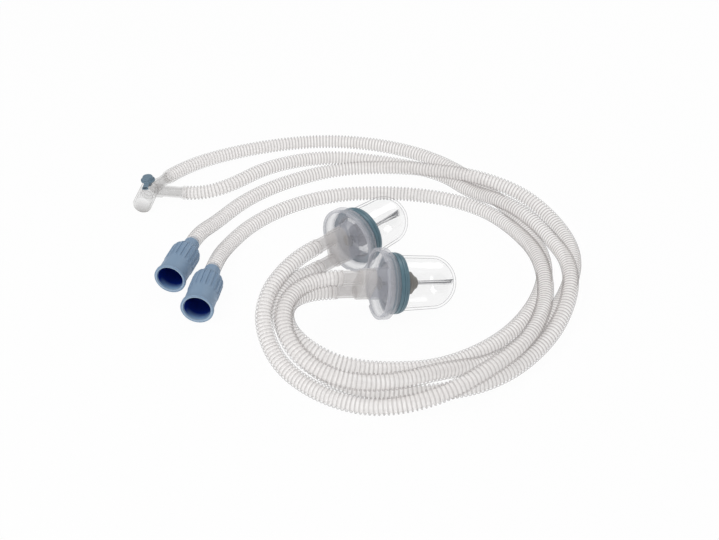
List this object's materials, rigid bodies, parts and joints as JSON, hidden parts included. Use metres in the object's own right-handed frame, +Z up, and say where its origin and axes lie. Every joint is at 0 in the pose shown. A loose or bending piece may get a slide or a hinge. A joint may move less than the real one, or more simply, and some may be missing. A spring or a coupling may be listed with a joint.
{
  "type": "neonatal breathing circuit",
  "caption": "Coiled corrugated breathing hoses that join a patient wye and machine cuffs through in-line water traps with clear jars.",
  "frame": {"origin": "bottom centre of the box of the rigid pieces, on the table that the circuit lies on", "axes": "+Z up from the table; +X from the wye and cuffs towards the traps, along the longest extent of the rigid pieces; +Y away from the viewer of the picture"},
  "size_m": [0.4176, 0.4326, 0.0599],
  "materials": {
    "clear": "clear moulded polycarbonate",
    "cap_blue": "satin slate-blue elastomer",
    "cuff_blue": "satin grey-blue moulded elastomer",
    "hose": "clear milky blow-moulded hose",
    "smoke": "translucent warm grey",
    "teal": "satin grey-teal elastomer",
    "seal": "matte black",
    "valve_grey": "matte grey silicone",
    "crystal": "clear polystyrene"
  },
  "bodies": {
    "circuit": {"patient_wye": "clear", "machine_cuff_c": "cuff_blue", "machine_cuff_d": "cuff_blue", "hose_a": "hose", "hose_b": "hose", "hose_c": "hose", "hose_d": "hose", "front_lid": "smoke", "front_manifold": "smoke", "front_seal_ring": "seal", "back_lid": "smoke", "back_manifold": "smoke", "back_seal_ring": "seal"},
    "cap": {"port_cap": "cap_blue"},
    "front_collar": {"front_collar": "teal"},
    "front_jar": {"front_jar": "crystal"},
    "front_valve": {"front_valve": "valve_grey"},
    "back_collar": {"back_collar": "teal"},
    "back_jar": {"back_jar": "crystal"},
    "back_valve": {"back_valve": "valve_grey"}
  },
  "joints": [
    {"name": "cap_pull", "type": "slide", "parent": "circuit", "child": "cap", "axis": [0, 0, 1], "range_m": [0, 0.014]},
    {"name": "front_turn", "type": "hinge", "parent": "circuit", "child": "front_collar", "pos_m": [0.0844, -0.0967, 0.03063], "axis": [0.9481, 0.2719, -0.165], "range_deg": [0, 60]},
    {"name": "front_jar_pull", "type": "slide", "parent": "front_collar", "child": "front_jar", "axis": [0.9481, 0.2719, -0.165], "range_m": [0, 0.045]},
    {"name": "front_valve_slide", "type": "slide", "parent": "circuit", "child": "front_valve", "axis": [0.9481, 0.2719, -0.165], "range_m": [0, 0.003]},
    {"name": "back_turn", "type": "hinge", "parent": "circuit", "child": "back_collar", "pos_m": [0.0585, -0.0328, 0.0298], "axis": [0.7009, 0.7133, 0], "range_deg": [0, 60]},
    {"name": "back_jar_pull", "type": "slide", "parent": "back_collar", "child": "back_jar", "axis": [0.7009, 0.7133, 0], "range_m": [0, 0.045]},
    {"name": "back_valve_slide", "type": "slide", "parent": "circuit", "child": "back_valve", "axis": [0.7009, 0.7133, 0], "range_m": [0, 0.003]}
  ],
  "couplings": [
    {"joint": "front_valve_slide", "follows": "front_jar_pull", "ratio": 0.066667},
    {"joint": "back_valve_slide", "follows": "back_jar_pull", "ratio": 0.066667}
  ]
}
